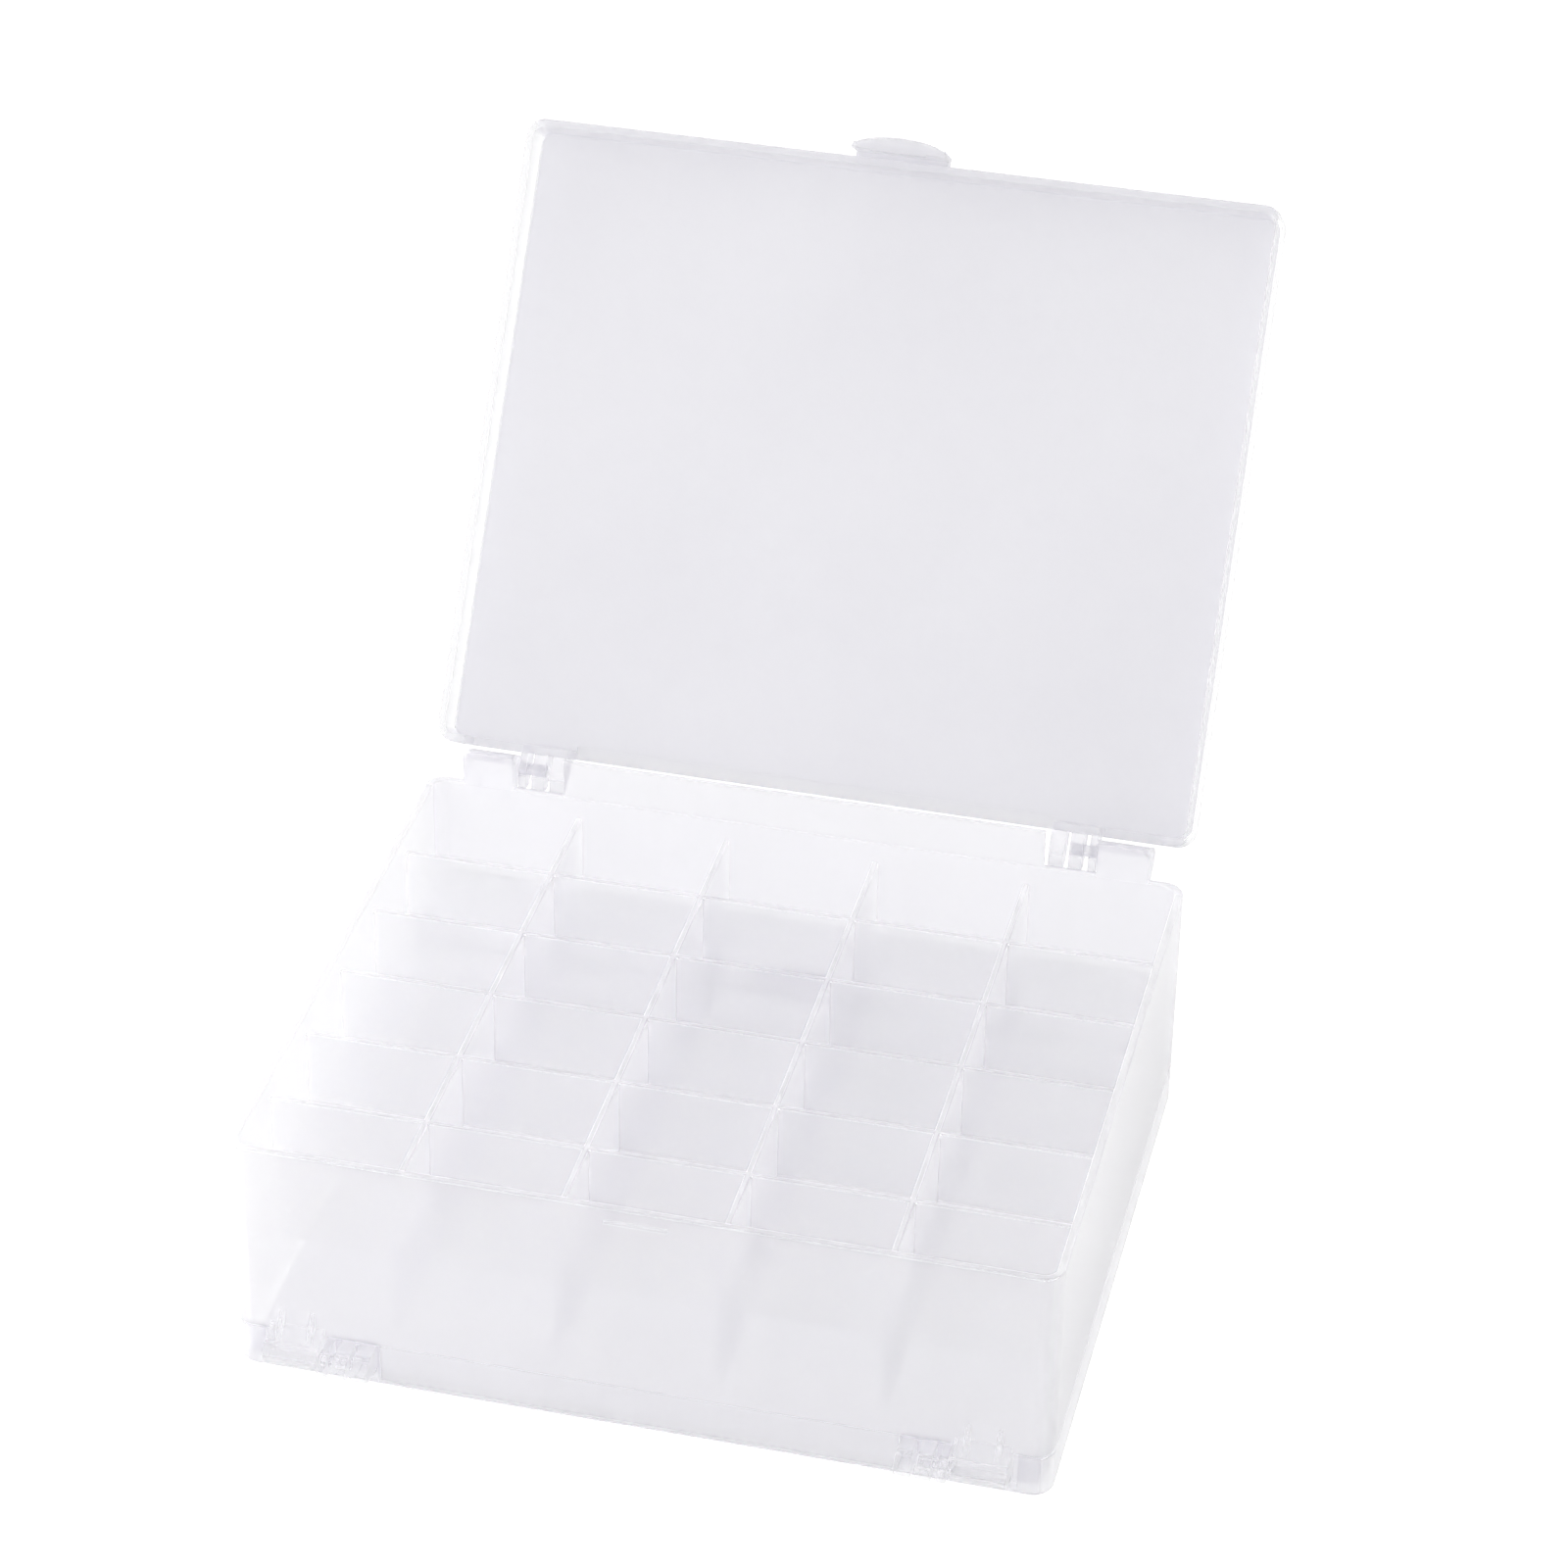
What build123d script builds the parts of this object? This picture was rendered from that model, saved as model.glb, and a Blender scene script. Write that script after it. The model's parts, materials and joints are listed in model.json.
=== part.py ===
# Bobbin storage box, closed size about 125 by 103 by 48 mm.
# A base with a middle floor holds thirty cells on its upper side and thirty on its lower side.
# Two identical lids close the two sides. The upper lid is hinged at the rear and stands open,
# the lower lid is hinged at the front and is shut, and the box stands on it.
# Origin: centre of the face that the box stands on. X runs left to right, Y front to back, Z up.
import os
from build123d import *

os.makedirs("parts", exist_ok=True)

# Outside of the closed box
box_width = 125.0
box_depth = 103.0
base_height = 33.2
lid_height = 7.5
corner_radius = 3.2
corner_leg = 1.8  # straight end of a corner piece, on each side of its rounding

# Thickness of each wall
outer_wall = 1.3
lid_panel = 1.2
middle_floor = 1.2
divider_wall = 1.0

# Cells on each side of the middle floor
column_count = 5
row_count = 6
divider_drop = 3.6  # from a rim down to the edges of its dividers

# Gaps between the base and a lid
seam_gap = 0.15  # between a rim and the lid skirt that closes on it
panel_gap = 0.2  # between a hinge wall and the lid panel over it
side_gap = 0.35  # between hinge pieces that stand side by side
hinge_wall_step = 0.3  # how far a hinge wall is set back from the wall that it stands on
rebate_height = 0.6  # how far a hinge wall reaches up into a rebate in the lid panel
rebate_depth = 2.2  # from the rear face to the inner side of that rebate
lid_edge_round = 1.0

# Hinge: stub pins on the ears of the base turn in bored knuckles on the lid
open_angle = 125.0
pin_out = 2.6  # pin centre behind the rear wall
pin_rise = 1.9  # pin centre above the rim
pin_radius = 0.9
pin_length = 4.6
pin_clearance = 0.08
pin_end_gap = 0.3  # from the end of a pin to the end of its bore
barrel_radius = 2.0
ear_inset = 5.9  # from the side of the box to the ear
ear_width = 8.5
ear_corner_round = 1.5
ear_root = 1.5  # how much lower the ear's web meets the wall than its barrel
gusset_wall = 0.8
gusset_spacing = 4.8
gusset_length = 4.4
knuckle_width = 7.7
first_rib = 1.25  # knuckle ribs and slots, counted from the ear
first_slot = 1.0
second_rib = 2.2
second_slot = 0.8
stop_gap = 0.3  # between a stop heel and the wall, with the lid wide open
heel_length = 2.6

# Latch: a thumb lip on a springy tongue, and the catch that it hooks under
catch_width = 9.5
catch_depth = 0.45
catch_height = 0.65
catch_drop = 1.9  # from the rim down to the top of the catch
catch_slope = 0.25
tongue_width = 15.2
tongue_wall = 1.0
tongue_gap = 0.8  # between the tongue and the wall of the base
tongue_drop = 3.4  # from the rim down to the end of the tongue
tongue_pad_height = 2.4
tongue_pad_rise = 0.6  # from the rim up to the pad that holds the tongue
hook_width = 9.0
hook_depth = 0.25
hook_clearance = 0.2
thumb_lip_width = 15.8
thumb_lip_reach = 3.1  # from the face of the skirt to the tip of the lip
thumb_lip_wall = 1.2

# Places that follow from the sizes above
lower_rim = lid_height
upper_rim = lower_rim + base_height
mid_height = (lower_rim + upper_rim) / 2
rear_face = box_depth / 2
front_face = -box_depth / 2
hinge_y = rear_face + pin_out
hinge_z = upper_rim + pin_rise
lid_inside = upper_rim + lid_height - lid_panel
ear_height = lid_height - lid_panel - panel_gap
hinge_wall_height = ear_height + rebate_height

inner_width = box_width - 2 * outer_wall
inner_depth = box_depth - 2 * outer_wall
corner_reach = corner_radius + corner_leg
straight_width = box_width - 2 * corner_reach
straight_depth = box_depth - 2 * corner_reach
column_pitch = (inner_width + divider_wall) / column_count
row_pitch = (inner_depth + divider_wall) / row_count
cell_width = column_pitch - divider_wall
cell_top = upper_rim - divider_drop
cell_floor = mid_height + middle_floor / 2
divider_height = cell_top - cell_floor
divider_mid = (cell_top + cell_floor) / 2

ear_centre = box_width / 2 - ear_inset - ear_width / 2
ear_inner_side = ear_centre - ear_width / 2
knuckle_outer_side = ear_inner_side - side_gap
knuckle_centre = knuckle_outer_side - knuckle_width / 2
hinge_wall_width = 2 * (knuckle_centre - knuckle_width / 2 - side_gap)

hinge_axis = Axis((0, hinge_y, hinge_z), (1, 0, 0))
turning_axis = Axis((0, 0, mid_height), (1, 0, 0))


def write(piece, name):
    """Label one finished piece and write its file."""
    piece.label = name
    export_step(piece, f"parts/{name}.step")


def turned_over(piece):
    """The same piece on the other side of the base, as if the box were turned over."""
    return piece.rotate(turning_axis, 180)


def write_both_sides(piece, upper_name, lower_name):
    """The two sides of the base carry the same pieces."""
    write(piece, upper_name)
    write(turned_over(piece), lower_name)


def write_lid_piece(piece, name):
    """A lid piece is drawn on the shut upper lid, then placed on both lids."""
    write(piece.rotate(hinge_axis, -open_angle), f"top_lid_{name}")
    write(turned_over(piece), f"bottom_lid_{name}")


# Outer walls of the base, one straight wall on each side
def build_outer_walls():
    for name, side in (("rear", 1), ("front", -1)):
        with BuildPart() as long_wall:
            with BuildSketch(Plane.XY.offset(lower_rim)):
                with Locations((0, side * (rear_face - outer_wall / 2))):
                    Rectangle(straight_width, outer_wall)
            extrude(amount=base_height)
        write(long_wall.part, f"{name}_wall")
    for name, side in (("right", 1), ("left", -1)):
        with BuildPart() as short_wall:
            with BuildSketch(Plane.XY.offset(lower_rim)):
                with Locations((side * (box_width - outer_wall) / 2, 0)):
                    Rectangle(outer_wall, straight_depth)
            extrude(amount=base_height)
        write(short_wall.part, f"{name}_wall")


def ring_corners():
    """Sketch of the four rounded corners of a wall ring."""
    RectangleRounded(box_width, box_depth, corner_radius)
    RectangleRounded(inner_width, inner_depth, corner_radius - outer_wall, mode=Mode.SUBTRACT)
    Rectangle(straight_width, box_depth, mode=Mode.SUBTRACT)
    Rectangle(box_width, straight_depth, mode=Mode.SUBTRACT)


def build_base_corners():
    with BuildPart() as corners:
        with BuildSketch(Plane.XY.offset(lower_rim)):
            ring_corners()
        extrude(amount=base_height)
    write(corners.part, "wall_corners")


def build_middle_floor():
    with BuildPart() as floor:
        with BuildSketch(Plane.XY.offset(mid_height - middle_floor / 2)):
            RectangleRounded(inner_width, inner_depth, corner_radius - outer_wall)
        extrude(amount=middle_floor)
    write(floor.part, "middle_floor")


# Column dividers run front to back. Row dividers fill in between them and the side walls.
def build_column_dividers():
    for number in range(1, column_count):
        place = -inner_width / 2 - divider_wall / 2 + number * column_pitch
        with BuildPart() as column:
            with Locations((place, 0, divider_mid)):
                Box(divider_wall, inner_depth, divider_height)
        write_both_sides(column.part, f"upper_column_divider_{number}", f"lower_column_divider_{number}")


def build_row_dividers():
    for number in range(1, row_count):
        place = -inner_depth / 2 - divider_wall / 2 + number * row_pitch
        with BuildPart() as row:
            with Locations((0, place, divider_mid)):
                with GridLocations(column_pitch, 1, column_count, 1):
                    Box(cell_width, divider_wall, divider_height)
        write_both_sides(row.part, f"upper_row_divider_{number}", f"lower_row_divider_{number}")


# Between the hinges the wall of the base stands up into a rebate in the lid panel, and the lid has no
# skirt there
def build_hinge_walls():
    with BuildPart() as hinge_wall:
        with BuildSketch(Plane.XY.offset(upper_rim)):
            with Locations((0, rear_face - hinge_wall_step)):
                Rectangle(hinge_wall_width, outer_wall - hinge_wall_step, align=(Align.CENTER, Align.MAX))
        extrude(amount=hinge_wall_height)
    write_both_sides(hinge_wall.part, "rear_hinge_wall", "front_hinge_wall")


def right_hinge_ear():
    """One hinge ear: a plate over the wall, the barrel behind it with its pin, and two gussets below."""
    barrel_top = hinge_z + barrel_radius
    barrel_bottom = hinge_z - barrel_radius
    with BuildPart() as ear:
        with BuildSketch(Plane.XZ.offset(-rear_face)):
            with Locations((ear_centre, upper_rim)):
                Rectangle(ear_width, ear_height, align=(Align.CENTER, Align.MIN))
        extrude(amount=outer_wall)
        fillet(ear.edges().filter_by(Axis.Y).sort_by(SortBy.DISTANCE)[-1], ear_corner_round)
        with BuildSketch(Plane.YZ.offset(ear_centre)):
            with BuildLine():
                Polyline(
                    (rear_face, barrel_top),
                    (hinge_y, barrel_top),
                    (hinge_y, barrel_bottom),
                    (rear_face, barrel_bottom - ear_root),
                    close=True,
                )
            make_face()
            with Locations((hinge_y, hinge_z)):
                Circle(barrel_radius)
        extrude(amount=ear_width / 2, both=True)
        for step in (-1, 1):
            with BuildSketch(Plane.YZ.offset(ear_centre + step * gusset_spacing / 2)):
                with BuildLine():
                    Polyline(
                        (rear_face, hinge_z),
                        (hinge_y, hinge_z),
                        (hinge_y, barrel_bottom),
                        (rear_face, barrel_bottom - gusset_length),
                        close=True,
                    )
                make_face()
            extrude(amount=gusset_wall / 2, both=True)
        with Locations((ear_inner_side - pin_length / 2, hinge_y, hinge_z)):
            Cylinder(pin_radius, pin_length, rotation=(0, 90, 0))
    return ear.part


def build_ears():
    right_ear = right_hinge_ear()
    write_both_sides(right_ear, "rear_right_hinge_ear", "front_right_hinge_ear")
    write_both_sides(mirror(right_ear, about=Plane.YZ), "rear_left_hinge_ear", "front_left_hinge_ear")


# The catch sits on the front wall for the upper lid, and on the rear wall for the lower lid
def build_catches():
    catch_top = upper_rim - catch_drop
    catch_face = front_face - catch_depth
    with BuildPart() as catch:
        with BuildSketch(Plane.YZ):
            with BuildLine():
                Polyline(
                    (front_face, catch_top),
                    (catch_face, catch_top - catch_slope),
                    (catch_face, catch_top - catch_height),
                    (front_face, catch_top - catch_height),
                    close=True,
                )
            make_face()
        extrude(amount=catch_width / 2, both=True)
    write_both_sides(catch.part, "front_latch_catch", "rear_latch_catch")


# Lid pieces, drawn on the shut upper lid
def build_lid_panel():
    with BuildPart() as panel:
        with BuildSketch(Plane.XY.offset(lid_inside)):
            RectangleRounded(box_width, box_depth, corner_radius)
        extrude(amount=lid_panel)
        fillet(panel.faces().sort_by(Axis.Z)[-1].edges(), lid_edge_round)
        with BuildSketch(Plane.XY.offset(lid_inside)):
            with Locations((0, rear_face)):
                Rectangle(hinge_wall_width + 2 * side_gap, rebate_depth, align=(Align.CENTER, Align.MAX))
        extrude(amount=rebate_height, mode=Mode.SUBTRACT)
    write_lid_piece(panel.part, "panel")


def build_lid_skirts():
    skirt_foot = upper_rim + seam_gap
    skirt_height = lid_inside - skirt_foot
    with BuildPart() as free_edge:
        with BuildSketch(Plane.XY.offset(skirt_foot)):
            with Locations((0, front_face + outer_wall / 2)):
                Rectangle(straight_width, outer_wall)
        extrude(amount=skirt_height)
    write_lid_piece(free_edge.part, "free_edge_skirt")
    for name, side in (("left", -1), ("right", 1)):
        with BuildPart() as side_skirt:
            with BuildSketch(Plane.XY.offset(skirt_foot)):
                with Locations((side * (box_width - outer_wall) / 2, 0)):
                    Rectangle(outer_wall, straight_depth)
            extrude(amount=skirt_height)
        write_lid_piece(side_skirt.part, f"{name}_skirt")
    with BuildPart() as corners:
        with BuildSketch(Plane.XY.offset(skirt_foot)):
            ring_corners()
        extrude(amount=skirt_height)
    write_lid_piece(corners.part, "skirt_corners")


def right_knuckle():
    """One hinge knuckle: an arm down from the panel, a slotted barrel with a bore, and a stop heel."""
    arm_foot = upper_rim + seam_gap
    second_slot_start = first_rib + first_slot + second_rib
    bore_depth = pin_length - side_gap + pin_end_gap
    with BuildPart() as knuckle:
        with BuildSketch(Plane.YZ.offset(knuckle_centre)):
            with Locations((rear_face - outer_wall / 2, arm_foot)):
                Rectangle(outer_wall, lid_inside - arm_foot, align=(Align.CENTER, Align.MIN))
            with BuildLine():
                Polyline(
                    (rear_face, hinge_z + barrel_radius),
                    (hinge_y, hinge_z + barrel_radius),
                    (hinge_y, hinge_z - barrel_radius),
                    (rear_face, arm_foot),
                    close=True,
                )
            make_face()
            with Locations((hinge_y, hinge_z)):
                Circle(barrel_radius)
                Rectangle(pin_out - stop_gap, heel_length, rotation=open_angle, align=(Align.MAX, Align.MAX))
        extrude(amount=knuckle_width / 2, both=True)
        for start, width in ((first_rib, first_slot), (second_slot_start, second_slot)):
            with Locations((knuckle_outer_side - start, rear_face, hinge_z)):
                Box(
                    width,
                    2 * (pin_out + barrel_radius),
                    2 * (pin_out + barrel_radius),
                    align=(Align.MAX, Align.MIN, Align.CENTER),
                    mode=Mode.SUBTRACT,
                )
        with Locations((knuckle_outer_side - bore_depth / 2, hinge_y, hinge_z)):
            Cylinder(pin_radius + pin_clearance, bore_depth, rotation=(0, 90, 0), mode=Mode.SUBTRACT)
    return knuckle.part


def build_knuckles():
    knuckle = right_knuckle()
    write_lid_piece(knuckle, "right_knuckle")
    write_lid_piece(mirror(knuckle, about=Plane.YZ), "left_knuckle")


def build_latch_tab():
    """The tongue hangs from a pad on the free edge skirt and carries the hook and the thumb lip."""
    tongue_inside = front_face - tongue_gap
    tongue_foot = upper_rim - tongue_drop
    pad_foot = upper_rim + tongue_pad_rise
    hook_top = upper_rim - catch_drop - catch_height - hook_clearance
    with BuildPart() as tab:
        with BuildSketch(Plane.XY.offset(pad_foot)):
            with Locations((0, front_face)):
                Rectangle(tongue_width, tongue_gap + tongue_wall, align=(Align.CENTER, Align.MAX))
        extrude(amount=tongue_pad_height)
        with BuildSketch(Plane.XY.offset(tongue_foot)):
            with Locations((0, tongue_inside)):
                Rectangle(tongue_width, tongue_wall, align=(Align.CENTER, Align.MAX))
        extrude(amount=pad_foot - tongue_foot)
        with BuildSketch(Plane.XY.offset(tongue_foot)):
            with Locations((0, tongue_inside)):
                Rectangle(hook_width, hook_depth, align=(Align.CENTER, Align.MIN))
        extrude(amount=hook_top - tongue_foot)
        with BuildSketch(Plane.XY.offset(tongue_foot)):
            with Locations((0, tongue_inside)):
                Ellipse(thumb_lip_width / 2, thumb_lip_reach - tongue_gap)
                Rectangle(
                    thumb_lip_width, thumb_lip_reach, align=(Align.CENTER, Align.MIN), mode=Mode.SUBTRACT
                )
        extrude(amount=thumb_lip_wall)
    write_lid_piece(tab.part, "latch_tab")


build_outer_walls()
build_base_corners()
build_middle_floor()
build_column_dividers()
build_row_dividers()
build_hinge_walls()
build_ears()
build_catches()
build_lid_panel()
build_lid_skirts()
build_knuckles()
build_latch_tab()
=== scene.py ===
# Looks of the bobbin storage box: each of its three mouldings is one clean mesh in frosted plastic.
import json
import math

import bmesh
import bpy
from mathutils import Matrix, Vector


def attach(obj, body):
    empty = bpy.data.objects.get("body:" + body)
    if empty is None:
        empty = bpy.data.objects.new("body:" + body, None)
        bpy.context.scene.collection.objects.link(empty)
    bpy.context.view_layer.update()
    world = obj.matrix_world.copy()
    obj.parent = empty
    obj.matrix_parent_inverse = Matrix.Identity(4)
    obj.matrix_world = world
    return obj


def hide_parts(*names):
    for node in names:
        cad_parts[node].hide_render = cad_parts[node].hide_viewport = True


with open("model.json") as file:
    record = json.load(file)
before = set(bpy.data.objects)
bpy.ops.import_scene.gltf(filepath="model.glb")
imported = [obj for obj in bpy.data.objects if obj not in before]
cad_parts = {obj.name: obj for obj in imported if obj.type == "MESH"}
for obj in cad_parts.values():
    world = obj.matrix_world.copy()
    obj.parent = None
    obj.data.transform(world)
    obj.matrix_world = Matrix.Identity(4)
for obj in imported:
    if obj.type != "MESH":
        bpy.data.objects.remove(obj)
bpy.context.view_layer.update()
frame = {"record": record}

# Lengths in this file are in millimetres unless a comment says metres. Meshes are scaled to metres when made.
MM = 0.001

# Sizes of the box, the same as in the CAD source
WIDTH = 125.0
DEPTH = 103.0
BASE_HEIGHT = 33.2
LID_HEIGHT = 7.5
CORNER = 3.2
CORNER_LEG = 1.8
WALL = 1.3
PANEL = 1.2
FLOOR = 1.2
DIVIDER = 1.0
COLUMNS = 5
ROWS = 6
DIVIDER_DROP = 3.6
SEAM = 0.15
PANEL_GAP = 0.2
SIDE_GAP = 0.35
HINGE_WALL_STEP = 0.3
REBATE_HEIGHT = 0.6
REBATE_DEPTH = 2.2
LID_EDGE = 1.0
OPEN_ANGLE = 125.0
PIN_OUT = 2.6
PIN_RISE = 1.9
PIN_RADIUS = 0.9
PIN_LENGTH = 4.6
PIN_CLEARANCE = 0.08
PIN_END_GAP = 0.3
BARREL = 2.0
EAR_INSET = 5.9
EAR_WIDTH = 8.5
EAR_ROUND = 1.5
EAR_ROOT = 1.5
GUSSET = 0.8
GUSSET_SPACING = 4.8
GUSSET_LENGTH = 4.4
KNUCKLE_WIDTH = 7.7
RIB_1, SLOT_1, RIB_2, SLOT_2 = 1.25, 1.0, 2.2, 0.8
STOP_GAP = 0.3
HEEL = 2.6
CATCH_WIDTH = 9.5
CATCH_DEPTH = 0.45
CATCH_HEIGHT = 0.65
CATCH_DROP = 1.9
CATCH_SLOPE = 0.25
TONGUE_WIDTH = 15.2
TONGUE = 1.0
TONGUE_GAP = 0.8
TONGUE_DROP = 3.4
PAD_HEIGHT = 2.4
PAD_RISE = 0.6
HOOK_WIDTH = 9.0
HOOK_DEPTH = 0.25
HOOK_CLEARANCE = 0.2
LIP_WIDTH = 15.8
LIP_REACH = 3.1
LIP = 1.2

# Places that follow from them, on the upper half of the box
RIM = LID_HEIGHT + BASE_HEIGHT
MID = LID_HEIGHT + BASE_HEIGHT / 2
REAR = DEPTH / 2
FRONT = -DEPTH / 2
HINGE_Y = REAR + PIN_OUT
HINGE_Z = RIM + PIN_RISE
LID_INSIDE = RIM + LID_HEIGHT - PANEL
SKIRT_FOOT = RIM + SEAM
INNER_W = WIDTH - 2 * WALL
INNER_D = DEPTH - 2 * WALL
STRAIGHT_W = WIDTH - 2 * (CORNER + CORNER_LEG)
COLUMN_PITCH = (INNER_W + DIVIDER) / COLUMNS
ROW_PITCH = (INNER_D + DIVIDER) / ROWS
CELL_TOP = RIM - DIVIDER_DROP
PLATE_TOP = LID_INSIDE - PANEL_GAP
EAR_CENTRE = WIDTH / 2 - EAR_INSET - EAR_WIDTH / 2
EAR_INNER = EAR_CENTRE - EAR_WIDTH / 2
KNUCKLE_OUTER = EAR_INNER - SIDE_GAP
KNUCKLE_CENTRE = KNUCKLE_OUTER - KNUCKLE_WIDTH / 2
HINGE_WALL_HALF = KNUCKLE_OUTER - KNUCKLE_WIDTH - SIDE_GAP

# Small forms that only the looks have, all inside the CAD's own faces
RIM_ROUND = 0.3
TOP_ROUND = 0.28
PANEL_FILLET = 0.5
LEDGE = 0.25  # step from the rim to the inner side of a hinge wall
SOFT_EDGE = 0.12  # rounding of blocks
LATCH_EDGE = 0.06  # the same on hooks and catches
GUSSET_EDGE = 0.08
LIP_EDGE = 0.2
BEVEL_ANGLE = 35  # degrees between two faces whose edge is rounded
SHARP_ANGLE = 32  # degrees between two faces that share a hard edge

# How the blanks are made and meet
SUNK = 0.25  # how far a feature reaches into the wall that carries it, so that they join
CUT_PAST = 1  # how far a cutter reaches past what it cuts
NOTCH_EXTRA = 0.1
SLOT_REACH = 12
SLOT_HALF = 9
CORNER_STEPS = 10
ARC_STEPS = 4
EDGE_STEPS = 8
DISC_STEPS = 32
LIP_STEPS = 28
BARREL_STEP = 15  # degrees
DIVIDER_STEP = 30  # degrees

# The three plastics: one clear, and two greyer copies of it that paint shade onto chosen faces. Haze is the
# share of a face that is milky, seen square on and at its edges
CLEAR = {
    "name": "frosted_polypropylene",
    "dark": (0.93, 0.92, 0.97, 1), "light": (0.94, 0.93, 0.98, 1),
    "haze": 0.08, "edge_haze": 0.5,
}
# Painted shade: a paler grey copy of the plastic. It goes on the rear of the base with its hinge walls and
# ears, on the upper lid's knuckles, and on the lower lid apart from its side skirts and knuckles, so that
# these faces render darker than the clear plastic under the same light
PALE_PAINTED_SHADE = {
    "name": "frosted_polypropylene_pale_painted_shade",
    "dark": (0.76, 0.75, 0.805, 1), "light": (0.79, 0.78, 0.835, 1),
    "haze": 0.25, "edge_haze": 0.5,
}
# Painted shade: a darker grey copy of the plastic on the open upper lid, on everything but its side skirts
# and knuckles, so that this lid renders darker than the same moulding below it
LID_PAINTED_SHADE = {
    "name": "frosted_polypropylene_lid_painted_shade",
    "dark": (0.70, 0.69, 0.745, 1), "light": (0.73, 0.72, 0.775, 1),
    "haze": 0.47, "edge_haze": 0.6,
}

# Their shared finish
PLASTIC_IOR = 1.49
SCATTER = 1.0
SCATTER_DEPTH = 0.004  # metres
ROUGH_MIN = 0.28
ROUGH_MAX = 0.42
GRAIN_SCALE = 2500
CLOUD_SCALE = 25
NOISE_DETAIL = 1
TINT_START, TINT_END = 0.3, 0.7  # of the cloud noise
EDGE_BLEND = 0.5
BUMP_STRENGTH = 0.15
BUMP_DEPTH = 0.00005  # metres

# Light
WORLD_LIGHT = 0.77
WORLD_SEEN = 1.0
LAMP_TARGET = (0, 0, 0.03)  # metres
LAMPS = (  # name, place and size in metres, power in watts
    ("right_softbox", (0.9, -0.1, 0.7), 0.6, 0.1),
    ("left_softbox", (-1.0, -0.1, 0.25), 0.7, 8.0),
    ("top_softbox", (0, 0.2, 1.2), 0.9, 1.0),
)
TRANSPARENT_BOUNCES = 48
MAX_BOUNCES = 20
DIFFUSE_BOUNCES = 14

# Floor: one paint for light, and one with a glow for the camera, so that it looks white with a faint shadow
FLOOR_SIZE = 3000
FLOOR_CELLS = 8
FLOOR_LIT = 0.9
FLOOR_ROUGH = 0.8
FLOOR_PAINT = 0.4
FLOOR_GLOW = 0.75

# Camera, fitted to the edges of the box in the photograph, with angles in degrees
CAMERA_ELEVATION = 33.3
CAMERA_AZIMUTH = 13.14
CAMERA_ROLL = 0.98
CAMERA_TARGET = (8.8, 0.0, 83.4)
CAMERA_DISTANCE = 721.4
FOCAL_PIXELS = 5000
FRAME_PIXELS = 1600
SENSOR = 36

TURNED_OVER = (
    Matrix.Translation((0, 0, MID)) @ Matrix.Rotation(math.pi, 4, "X") @ Matrix.Translation((0, 0, -MID))
)
OPENED = (
    Matrix.Translation((0, HINGE_Y, HINGE_Z))
    @ Matrix.Rotation(math.radians(-OPEN_ANGLE), 4, "X")
    @ Matrix.Translation((0, -HINGE_Y, -HINGE_Z))
)
MIRRORED = Matrix.Scale(-1, 4, (1, 0, 0))


# Outlines
def on_circle(centre, radius, angle):
    return (centre[0] + radius * math.cos(angle), centre[1] + radius * math.sin(angle))


def disc(centre, radius):
    """Outline of a circle."""
    return [on_circle(centre, radius, 2 * math.pi * i / DISC_STEPS) for i in range(DISC_STEPS)]


def arc(centre_inset, centre_z, radius, start, end, steps=ARC_STEPS):
    """Points of a quarter turn of a profile, angles in degrees from the inward direction."""
    return [
        on_circle((centre_inset, centre_z), radius, math.radians(start + (end - start) * step / steps))
        for step in range(steps + 1)
    ]


def ring_points(inset):
    """The box's rounded outline, moved inwards by inset."""
    half_w, half_d, radius = WIDTH / 2 - inset, DEPTH / 2 - inset, CORNER - inset
    points = []
    for corner, (sx, sy) in enumerate(((1, 1), (-1, 1), (-1, -1), (1, -1))):
        centre = Vector((sx * (half_w - radius), sy * (half_d - radius)))
        for step in range(CORNER_STEPS + 1):
            angle = math.pi / 2 * (corner + step / CORNER_STEPS)
            points.append(centre + radius * Vector((math.cos(angle), math.sin(angle))))
    return points


def barrel_web(foot):
    """Side view of a hinge barrel and the web that carries it, closed by the points of its foot."""
    web = [(REAR - SUNK, HINGE_Z + BARREL), (HINGE_Y, HINGE_Z + BARREL)]
    web += [
        on_circle((HINGE_Y, HINGE_Z), BARREL, math.radians(90 - BARREL_STEP * i))
        for i in range(1, 180 // BARREL_STEP)
    ]
    return web + [(HINGE_Y, HINGE_Z - BARREL)] + foot


# Blanks: closed bmeshes in millimetres that are joined into one moulding
def loft(profile, closed):
    """Sweeps (inset, z) pairs round the box. A closed profile makes a ring, an open one is capped."""
    bm = bmesh.new()
    loops = [[bm.verts.new((p.x, p.y, z)) for p in ring_points(inset)] for inset, z in profile]
    pairs = list(zip(loops, loops[1:]))
    if closed:
        pairs.append((loops[-1], loops[0]))
    for low, high in pairs:
        for i in range(len(low)):
            j = (i + 1) % len(low)
            bm.faces.new((low[i], low[j], high[j], high[i]))
    if not closed:
        bm.faces.new(list(reversed(loops[0])))
        bm.faces.new(loops[-1])
    bmesh.ops.recalc_face_normals(bm, faces=bm.faces)
    return bm


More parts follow.
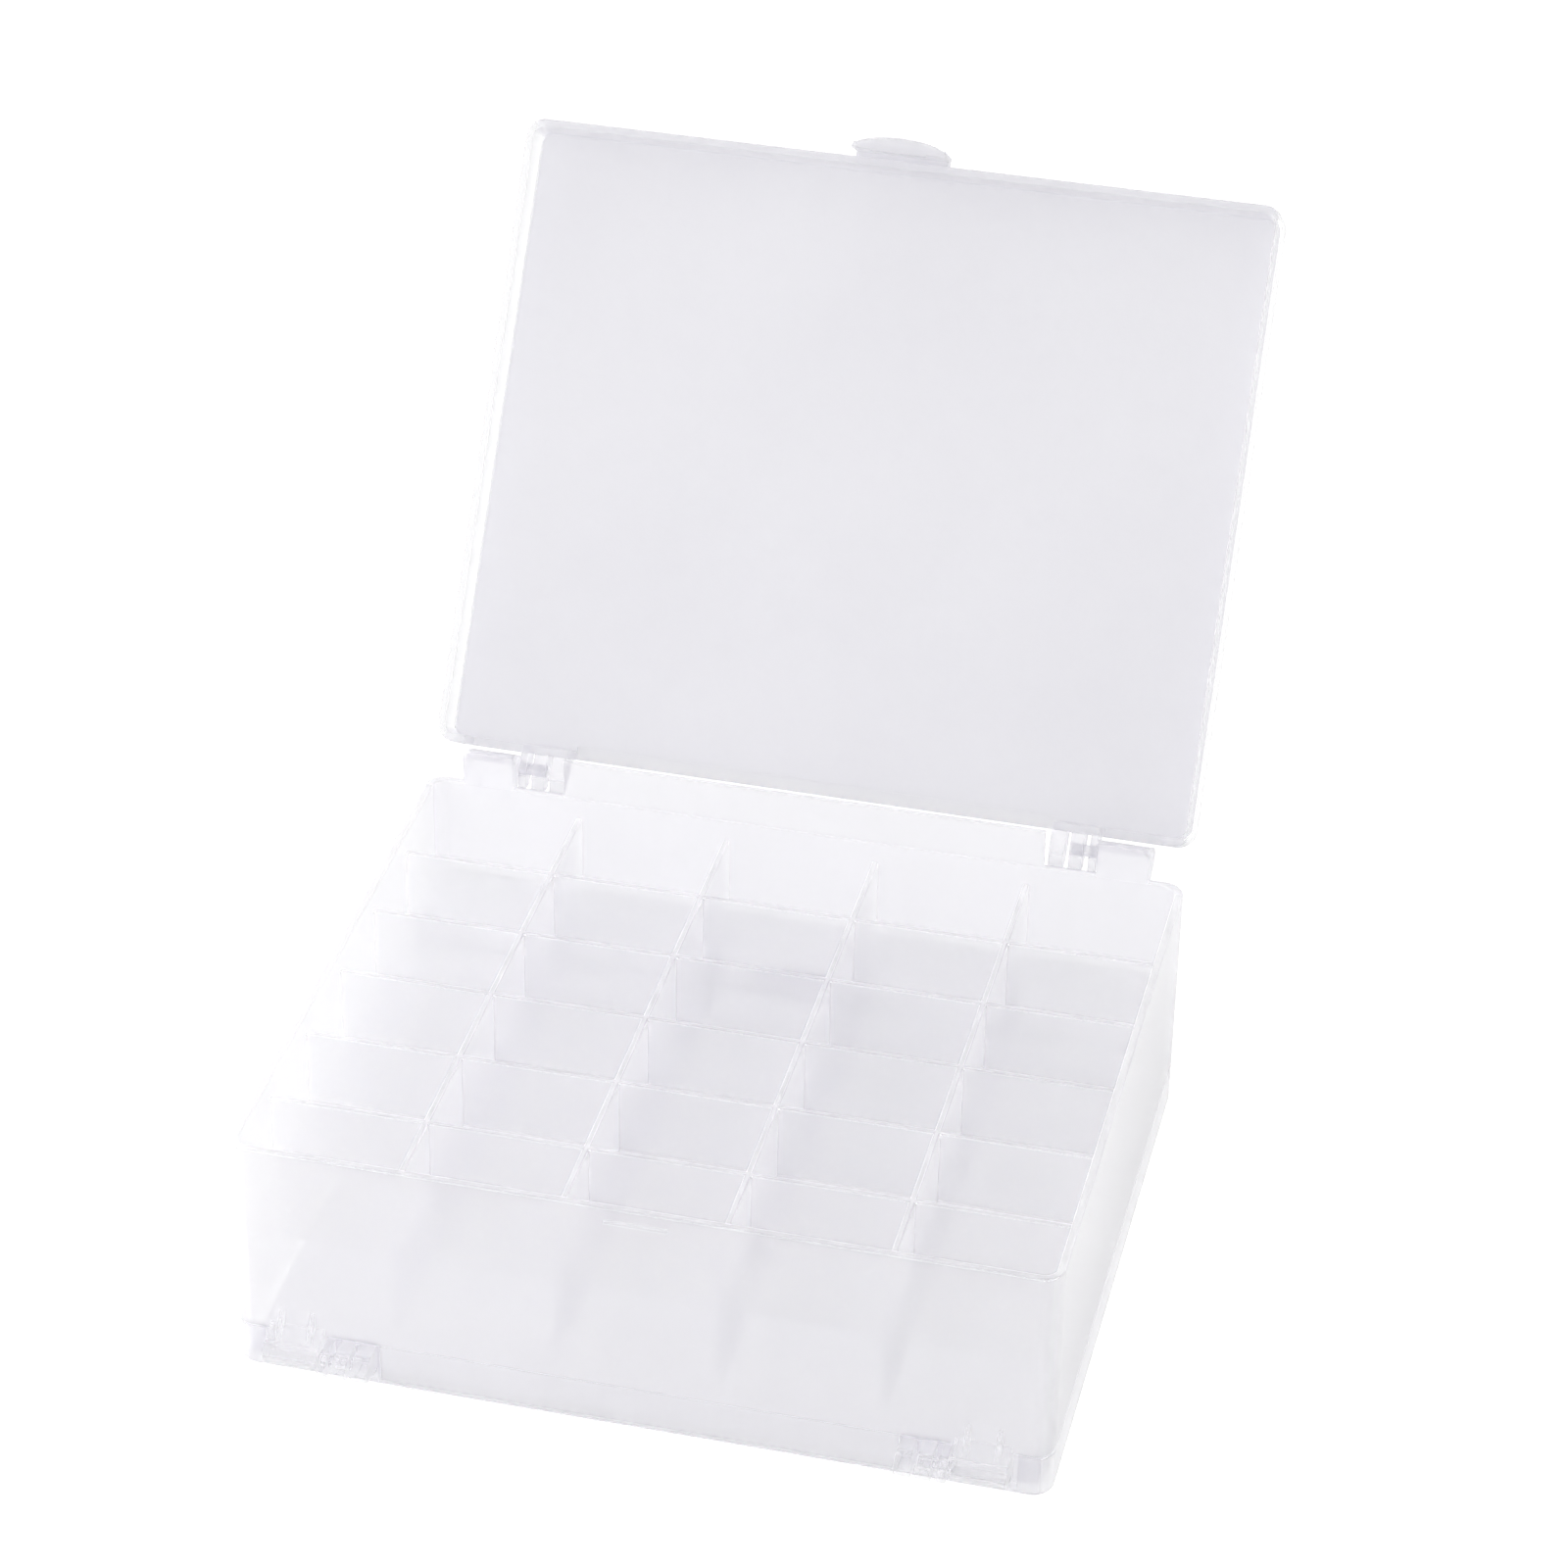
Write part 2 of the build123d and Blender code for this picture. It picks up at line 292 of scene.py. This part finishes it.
def prism(outline, axis, low, high, soft=SOFT_EDGE, segments=2):
    """Extrudes an outline along axis. Outline pairs are (y, z) for X, (x, z) for Y and (x, y) for Z."""
    bm = bmesh.new()
    place = {
        "X": lambda a, b, c: (c, a, b),
        "Y": lambda a, b, c: (a, c, b),
        "Z": lambda a, b, c: (a, b, c),
    }[axis]
    ends = [[bm.verts.new(place(a, b, c)) for a, b in outline] for c in (low, high)]
    bm.faces.new(list(reversed(ends[0])))
    bm.faces.new(ends[1])
    count = len(outline)
    for i in range(count):
        j = (i + 1) % count
        bm.faces.new((ends[0][i], ends[0][j], ends[1][j], ends[1][i]))
    bmesh.ops.recalc_face_normals(bm, faces=bm.faces)
    if soft:
        sharp = [e for e in bm.edges if e.calc_face_angle(0) > math.radians(BEVEL_ANGLE)]
        bmesh.ops.bevel(
            bm, geom=sharp, offset=soft, segments=segments, profile=0.5, affect="EDGES", clamp_overlap=True
        )
    return bm


def block(x, y, z, soft=SOFT_EDGE):
    """A box between the (low, high) pairs x, y and z, with softened edges."""
    outline = [(x[0], y[0]), (x[1], y[0]), (x[1], y[1]), (x[0], y[1])]
    return prism(outline, "Z", z[0], z[1], soft)


def moved(bm, matrix):
    """A copy of a blank, moved or mirrored."""
    copy = bm.copy()
    bmesh.ops.transform(copy, matrix=matrix, verts=copy.verts)
    if matrix.determinant() < 0:
        bmesh.ops.reverse_faces(copy, faces=copy.faces)
    return copy


def with_copies(blanks, matrix):
    """The blanks, each followed by its moved or mirrored copy."""
    return [copy for bm in blanks for copy in (bm, moved(bm, matrix))]


def to_object(bm, name):
    """Turns a bmesh into an object of the scene."""
    bmesh.ops.triangulate(bm, faces=[f for f in bm.faces if len(f.verts) > 4])
    mesh = bpy.data.meshes.new(name)
    bm.to_mesh(mesh)
    bm.free()
    piece = bpy.data.objects.new(name, mesh)
    bpy.context.scene.collection.objects.link(piece)
    return piece


def apply_modifiers(piece):
    bpy.context.view_layer.update()
    done = bpy.data.meshes.new_from_object(piece.evaluated_get(bpy.context.evaluated_depsgraph_get()))
    piece.modifiers.clear()
    piece.data = done


def combine(body, tools, operation):
    """Joins blanks to a body, or cuts them from it, and returns the body with the result as its mesh."""
    parts = [to_object(bm, f"blank_{i}") for i, bm in enumerate(tools)]
    for part in parts:
        step = body.modifiers.new("step", "BOOLEAN")
        step.operation = operation
        step.solver = "MANIFOLD"
        step.object = part
    apply_modifiers(body)
    for part in parts:
        bpy.data.objects.remove(part)
    return body


# The base moulding
def wall_ring():
    """The four outer walls, with rounded rims at top and bottom."""
    low, high = LID_HEIGHT, RIM
    profile = arc(RIM_ROUND, low + RIM_ROUND, RIM_ROUND, 270, 180)
    profile += arc(RIM_ROUND, high - RIM_ROUND, RIM_ROUND, 180, 90)
    profile += arc(WALL - RIM_ROUND, high - RIM_ROUND, RIM_ROUND, 90, 0)
    profile += arc(WALL - RIM_ROUND, low + RIM_ROUND, RIM_ROUND, 0, -90)
    return loft(profile, closed=True)


def divider(axis, place):
    """A bar through the middle floor that stands up into the cells on both sides, with rounded edges."""
    half = DIVIDER / 2
    reach = CELL_TOP - MID
    outline = []
    for sx, sz, start in ((1, 1, 0), (-1, 1, 90), (-1, -1, 180), (1, -1, 270)):
        centre = (place + sx * (half - TOP_ROUND), MID + sz * (reach - TOP_ROUND))
        for step in range(90 // DIVIDER_STEP + 1):
            outline.append(on_circle(centre, TOP_ROUND, math.radians(start + DIVIDER_STEP * step)))
    length = (INNER_D if axis == "Y" else INNER_W) / 2 + SUNK
    return prism(outline, axis, -length, length, soft=0)


def ear_blanks():
    """The right rear ear: plate, web and barrel, gussets and stub pin."""
    bottom = HINGE_Z - BARREL
    low, high = EAR_CENTRE - EAR_WIDTH / 2, EAR_CENTRE + EAR_WIDTH / 2
    plate = [(low, RIM - SUNK), (high, RIM - SUNK)]
    for step in range(90 // BARREL_STEP + 1):
        centre = (high - EAR_ROUND, PLATE_TOP - EAR_ROUND)
        plate.append(on_circle(centre, EAR_ROUND, math.radians(BARREL_STEP * step)))
    plate.append((low, PLATE_TOP))
    web = barrel_web([(REAR, bottom - EAR_ROOT), (REAR - SUNK, bottom - EAR_ROOT)])
    blanks = [
        prism(plate, "Y", REAR - WALL, REAR),
        prism(web, "X", low, high),
        prism(disc((HINGE_Y, HINGE_Z), PIN_RADIUS), "X", EAR_INNER - PIN_LENGTH, EAR_INNER + SUNK),
    ]
    for side in (-1, 1):
        middle = EAR_CENTRE + side * GUSSET_SPACING / 2
        gusset = [
            (REAR - SUNK, HINGE_Z), (HINGE_Y, HINGE_Z), (HINGE_Y, bottom),
            (REAR, bottom - GUSSET_LENGTH), (REAR - SUNK, bottom - GUSSET_LENGTH),
        ]
        blanks.append(prism(gusset, "X", middle - GUSSET / 2, middle + GUSSET / 2, soft=GUSSET_EDGE))
    return blanks


def build_base():
    base = to_object(wall_ring(), "base_moulding")
    slab = loft([(WALL - SUNK, MID - FLOOR / 2), (WALL - SUNK, MID + FLOOR / 2)], closed=False)
    blanks = [slab]
    for number in range(1, COLUMNS):
        blanks.append(divider("Y", (number - COLUMNS / 2) * COLUMN_PITCH))
    for number in range(1, ROWS):
        blanks.append(divider("X", (number - ROWS / 2) * ROW_PITCH))
    hinge_wall = block(
        (-HINGE_WALL_HALF, HINGE_WALL_HALF),
        (REAR - WALL + LEDGE, REAR - HINGE_WALL_STEP),
        (RIM - RIM_ROUND - SUNK, PLATE_TOP + REBATE_HEIGHT),
    )
    catch_top = RIM - CATCH_DROP
    catch = prism(
        [
            (FRONT + SUNK, catch_top),
            (FRONT, catch_top),
            (FRONT - CATCH_DEPTH, catch_top - CATCH_SLOPE),
            (FRONT - CATCH_DEPTH, catch_top - CATCH_HEIGHT),
            (FRONT + SUNK, catch_top - CATCH_HEIGHT),
        ],
        "X", -CATCH_WIDTH / 2, CATCH_WIDTH / 2, soft=LATCH_EDGE,
    )
    upper = [hinge_wall, catch] + with_copies(ear_blanks(), MIRRORED)
    return combine(base, blanks + with_copies(upper, TURNED_OVER), "UNION")


# A lid moulding, drawn on the shut upper lid
def tray():
    """Panel and skirts: a profile from the panel's underside round the skirt to its top, swept round."""
    top = RIM + LID_HEIGHT
    profile = [(WALL + PANEL_FILLET, LID_INSIDE)]
    profile += arc(WALL + PANEL_FILLET, LID_INSIDE - PANEL_FILLET, PANEL_FILLET, 90, 180)[1:]
    profile += arc(WALL - RIM_ROUND, SKIRT_FOOT + RIM_ROUND, RIM_ROUND, 0, -90)
    profile += arc(RIM_ROUND, SKIRT_FOOT + RIM_ROUND, RIM_ROUND, 270, 180)
    profile += arc(LID_EDGE, top - LID_EDGE, LID_EDGE, 180, 90, EDGE_STEPS)
    return loft(profile, closed=False)


def knuckle_blanks():
    """The right knuckle: arm, web and barrel, and the stop heel."""
    low, high = KNUCKLE_CENTRE - KNUCKLE_WIDTH / 2, KNUCKLE_CENTRE + KNUCKLE_WIDTH / 2
    arm = block((low, high), (REAR - WALL, REAR), (SKIRT_FOOT, LID_INSIDE + SUNK))
    web = barrel_web([(REAR, SKIRT_FOOT), (REAR - SUNK, SKIRT_FOOT)])
    turn = math.radians(OPEN_ANGLE)
    reach, drop = PIN_OUT - STOP_GAP, HEEL
    heel = [
        (
            HINGE_Y + a * math.cos(turn) - b * math.sin(turn),
            HINGE_Z + a * math.sin(turn) + b * math.cos(turn),
        )
        for a, b in ((-reach, -drop), (0, -drop), (0, 0), (-reach, 0))
    ]
    return [arm, prism(web, "X", low, high), prism(heel, "X", low, high)]


def knuckle_cuts():
    """The slots between the right knuckle's ribs, and its bore."""
    cuts = []
    for start, width in ((RIB_1, SLOT_1), (RIB_1 + SLOT_1 + RIB_2, SLOT_2)):
        x = KNUCKLE_OUTER - start
        slot_z = (HINGE_Z - SLOT_HALF, HINGE_Z + SLOT_HALF)
        cuts.append(block((x - width, x), (REAR, REAR + SLOT_REACH), slot_z, soft=0))
    depth = PIN_LENGTH - SIDE_GAP + PIN_END_GAP
    bore = disc((HINGE_Y, HINGE_Z), PIN_RADIUS + PIN_CLEARANCE)
    cuts.append(prism(bore, "X", KNUCKLE_OUTER - depth, KNUCKLE_OUTER + SUNK, soft=0))
    return cuts


def tab_blanks():
    """The latch tab: pad, tongue, hook and thumb lip."""
    inside = FRONT - TONGUE_GAP
    outside = inside - TONGUE
    foot = RIM - TONGUE_DROP
    across = (-TONGUE_WIDTH / 2, TONGUE_WIDTH / 2)
    pad = block(across, (outside, FRONT + SUNK), (RIM + PAD_RISE, RIM + PAD_RISE + PAD_HEIGHT))
    tongue = block(across, (outside, inside), (foot, RIM + PAD_RISE + SUNK))
    hook_top = RIM - CATCH_DROP - CATCH_HEIGHT - HOOK_CLEARANCE
    hook = block(
        (-HOOK_WIDTH / 2, HOOK_WIDTH / 2), (inside - SUNK, inside + HOOK_DEPTH), (foot, hook_top),
        soft=LATCH_EDGE,
    )
    lip = [
        (LIP_WIDTH / 2 * math.cos(a), inside + (LIP_REACH - TONGUE_GAP) * math.sin(a))
        for a in (-math.pi * i / LIP_STEPS for i in range(LIP_STEPS + 1))
    ]
    return [pad, tongue, hook, prism(lip, "Z", foot, foot + LIP, soft=LIP_EDGE, segments=3)]


def build_lid(name):
    lid = to_object(tray(), name)
    notch = block(
        (-STRAIGHT_W / 2, STRAIGHT_W / 2),
        (REAR - WALL - NOTCH_EXTRA, REAR + CUT_PAST),
        (SKIRT_FOOT - CUT_PAST, LID_INSIDE),
        soft=0,
    )
    rebate_half = HINGE_WALL_HALF + SIDE_GAP
    rebate = block(
        (-rebate_half, rebate_half),
        (REAR - REBATE_DEPTH, REAR + CUT_PAST),
        (LID_INSIDE - CUT_PAST, LID_INSIDE + REBATE_HEIGHT),
        soft=0,
    )
    combine(lid, [notch, rebate], "DIFFERENCE")
    combine(lid, with_copies(knuckle_blanks(), MIRRORED) + tab_blanks(), "UNION")
    return combine(lid, with_copies(knuckle_cuts(), MIRRORED), "DIFFERENCE")


def finish_mesh(piece, place):
    """Puts a moulding in its place, in metres, with smooth rounded edges and truly flat walls."""
    piece.data.transform(Matrix.Scale(MM, 4) @ place)
    for polygon in piece.data.polygons:
        polygon.use_smooth = True
    piece.data.set_sharp_from_angle(angle=math.radians(SHARP_ANGLE))
    flatten = piece.modifiers.new("flatten", "WEIGHTED_NORMAL")
    flatten.mode = "FACE_AREA"
    flatten.weight = 100
    flatten.keep_sharp = True
    apply_modifiers(piece)
    return piece


# Plastic
def frosted_plastic(look):
    """Milky clear plastic: see-through with a haze, a satin shine, and faint flow marks."""
    material = bpy.data.materials.new(look["name"])
    material.use_nodes = True
    tree = material.node_tree
    shader = tree.nodes["Principled BSDF"]
    shader.inputs["IOR"].default_value = PLASTIC_IOR
    shader.inputs["Subsurface Weight"].default_value = SCATTER
    shader.inputs["Subsurface Radius"].default_value = (1, 1, 1)
    shader.inputs["Subsurface Scale"].default_value = SCATTER_DEPTH

    coordinates = tree.nodes.new("ShaderNodeTexCoord")
    grain = tree.nodes.new("ShaderNodeTexNoise")
    cloud = tree.nodes.new("ShaderNodeTexNoise")
    for noise, scale in ((grain, GRAIN_SCALE), (cloud, CLOUD_SCALE)):
        noise.inputs["Scale"].default_value = scale
        noise.inputs["Detail"].default_value = NOISE_DETAIL
        tree.links.new(coordinates.outputs["Object"], noise.inputs["Vector"])

    rough = tree.nodes.new("ShaderNodeMapRange")
    rough.inputs["To Min"].default_value = ROUGH_MIN
    rough.inputs["To Max"].default_value = ROUGH_MAX
    tree.links.new(grain.outputs["Fac"], rough.inputs["Value"])
    tree.links.new(rough.outputs["Result"], shader.inputs["Roughness"])

    tint = tree.nodes.new("ShaderNodeValToRGB")
    for stop, place, colour in zip(
        tint.color_ramp.elements, (TINT_START, TINT_END), (look["dark"], look["light"])
    ):
        stop.position = place
        stop.color = colour
    tree.links.new(cloud.outputs["Fac"], tint.inputs["Fac"])
    tree.links.new(tint.outputs["Color"], shader.inputs["Base Color"])

    edge = tree.nodes.new("ShaderNodeLayerWeight")
    edge.inputs["Blend"].default_value = EDGE_BLEND
    haze = tree.nodes.new("ShaderNodeMapRange")
    haze.interpolation_type = "SMOOTHSTEP"
    haze.inputs["To Min"].default_value = look["haze"]
    haze.inputs["To Max"].default_value = look["edge_haze"]
    tree.links.new(edge.outputs["Facing"], haze.inputs["Value"])
    tree.links.new(haze.outputs["Result"], shader.inputs["Alpha"])

    bump = tree.nodes.new("ShaderNodeBump")
    bump.inputs["Strength"].default_value = BUMP_STRENGTH
    bump.inputs["Distance"].default_value = BUMP_DEPTH
    tree.links.new(grain.outputs["Fac"], bump.inputs["Height"])
    tree.links.new(bump.outputs["Normal"], shader.inputs["Normal"])
    return material


def shade_of(body, middle):
    """The plastic of a face, from its middle as drawn: 0 clear, 1 pale grey, 2 the upper lid's grey. Both
    greys are painted shade: the pale one on the base's rear, on the upper lid's knuckles and on the lower lid
    but for its side skirts and knuckles, and the darker one on the rest of the upper lid but for its side
    skirts.
    """
    if body == "base":
        return int(middle.y > REAR - CORNER)
    if abs(middle.x) > WIDTH / 2 - WALL - RIM_ROUND:
        return 0
    if middle.y > REAR + SUNK:
        return int(body == "top_lid")
    return 2 if body == "top_lid" else 1


def build_object():
    clear = frosted_plastic(CLEAR)
    lid_painted_shade = frosted_plastic(LID_PAINTED_SHADE)
    pale_painted_shade = frosted_plastic(PALE_PAINTED_SHADE)
    bodies = frame["record"]["behaviour"]["bodies"]
    places = {"base": Matrix.Identity(4), "top_lid": OPENED, "bottom_lid": TURNED_OVER}
    pieces = {
        "base": finish_mesh(build_base(), places["base"]),
        "top_lid": finish_mesh(build_lid("top_lid_moulding"), places["top_lid"]),
        "bottom_lid": finish_mesh(build_lid("bottom_lid_moulding"), places["bottom_lid"]),
    }
    for body, piece in pieces.items():
        piece.data.materials.clear()
        for plastic in (clear, pale_painted_shade) + ((lid_painted_shade,) if body == "top_lid" else ()):
            piece.data.materials.append(plastic)
        drawn = (Matrix.Scale(MM, 4) @ places[body]).inverted()
        for polygon in piece.data.polygons:
            # Each face gets the clear plastic or one of the two grey copies that paint shade, by where it
            # lies
            polygon.material_index = shade_of(body, drawn @ polygon.center)
        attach(piece, body)
        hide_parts(*bodies[body])


# Stage
def only_seen(tree, seen, other):
    """Mixes two shaders: one for camera, mirrored and see-through rays, the other for light."""
    path = tree.nodes.new("ShaderNodeLightPath")
    first = tree.nodes.new("ShaderNodeMath")
    first.operation = "MAXIMUM"
    second = tree.nodes.new("ShaderNodeMath")
    second.operation = "MAXIMUM"
    tree.links.new(path.outputs["Is Camera Ray"], first.inputs[0])
    tree.links.new(path.outputs["Is Glossy Ray"], first.inputs[1])
    tree.links.new(first.outputs[0], second.inputs[0])
    tree.links.new(path.outputs["Is Transmission Ray"], second.inputs[1])
    mix = tree.nodes.new("ShaderNodeMixShader")
    tree.links.new(second.outputs[0], mix.inputs["Fac"])
    tree.links.new(other, mix.inputs[1])
    tree.links.new(seen, mix.inputs[2])
    return mix.outputs[0]


def build_world():
    world = bpy.data.worlds.new("studio")
    bpy.context.scene.world = world
    world.use_nodes = True
    tree = world.node_tree
    lit = tree.nodes["Background"]
    white = tree.nodes.new("ShaderNodeBackground")
    for background, strength in ((lit, WORLD_LIGHT), (white, WORLD_SEEN)):
        background.inputs["Color"].default_value = (1, 1, 1, 1)
        background.inputs["Strength"].default_value = strength
    surface = only_seen(tree, white.outputs[0], lit.outputs[0])
    tree.links.new(surface, tree.nodes["World Output"].inputs["Surface"])


def build_floor():
    bm = bmesh.new()
    bmesh.ops.create_grid(bm, x_segments=FLOOR_CELLS, y_segments=FLOOR_CELLS, size=FLOOR_SIZE)
    floor = to_object(bm, "floor")
    floor.data.transform(Matrix.Scale(MM, 4))
    material = bpy.data.materials.new("floor_white")
    material.use_nodes = True
    tree = material.node_tree
    paint = tree.nodes["Principled BSDF"]
    paint.inputs["Base Color"].default_value = (FLOOR_LIT, FLOOR_LIT, FLOOR_LIT, 1)
    paint.inputs["Roughness"].default_value = FLOOR_ROUGH
    seen_paint = tree.nodes.new("ShaderNodeBsdfDiffuse")
    seen_paint.inputs["Color"].default_value = (FLOOR_PAINT, FLOOR_PAINT, FLOOR_PAINT, 1)
    glow = tree.nodes.new("ShaderNodeEmission")
    glow.inputs["Strength"].default_value = FLOOR_GLOW
    both = tree.nodes.new("ShaderNodeAddShader")
    tree.links.new(seen_paint.outputs[0], both.inputs[0])
    tree.links.new(glow.outputs[0], both.inputs[1])
    surface = only_seen(tree, both.outputs[0], paint.outputs[0])
    tree.links.new(surface, tree.nodes["Material Output"].inputs["Surface"])
    material.cycles.emission_sampling = "NONE"
    floor.data.materials.append(material)


def build_stage():
    scene = bpy.context.scene
    scene.view_settings.view_transform = "Standard"
    scene.cycles.transparent_max_bounces = TRANSPARENT_BOUNCES
    scene.cycles.max_bounces = MAX_BOUNCES
    scene.cycles.diffuse_bounces = DIFFUSE_BOUNCES
    build_world()
    build_floor()


def add_lamp(name, place, size, power):
    lamp = bpy.data.lights.new(name, "AREA")
    lamp.size = size
    lamp.energy = power
    holder = bpy.data.objects.new(name, lamp)
    holder.location = place
    holder.rotation_euler = (Vector(LAMP_TARGET) - Vector(place)).to_track_quat("-Z", "Y").to_euler()
    bpy.context.scene.collection.objects.link(holder)


def add_camera():
    """The photograph's camera."""
    elevation, azimuth, roll = map(math.radians, (CAMERA_ELEVATION, CAMERA_AZIMUTH, CAMERA_ROLL))
    back = Vector(
        (
            math.sin(azimuth) * math.cos(elevation),
            -math.cos(azimuth) * math.cos(elevation),
            math.sin(elevation),
        )
    )
    right = Vector((math.cos(azimuth), math.sin(azimuth), 0))
    up = back.cross(right)
    right, up = (
        math.cos(roll) * right + math.sin(roll) * up,
        math.cos(roll) * up - math.sin(roll) * right,
    )
    lens = bpy.data.cameras.new("camera")
    lens.sensor_width = SENSOR
    lens.lens = FOCAL_PIXELS * SENSOR / FRAME_PIXELS
    holder = bpy.data.objects.new("camera", lens)
    place = Vector(CAMERA_TARGET) * MM + CAMERA_DISTANCE * MM * back
    holder.matrix_world = Matrix.Translation(place) @ Matrix((right, up, back)).transposed().to_4x4()
    bpy.context.scene.collection.objects.link(holder)
    bpy.context.scene.camera = holder


add_camera()
build_stage()
for lamp_values in LAMPS:
    add_lamp(*lamp_values)
build_object()
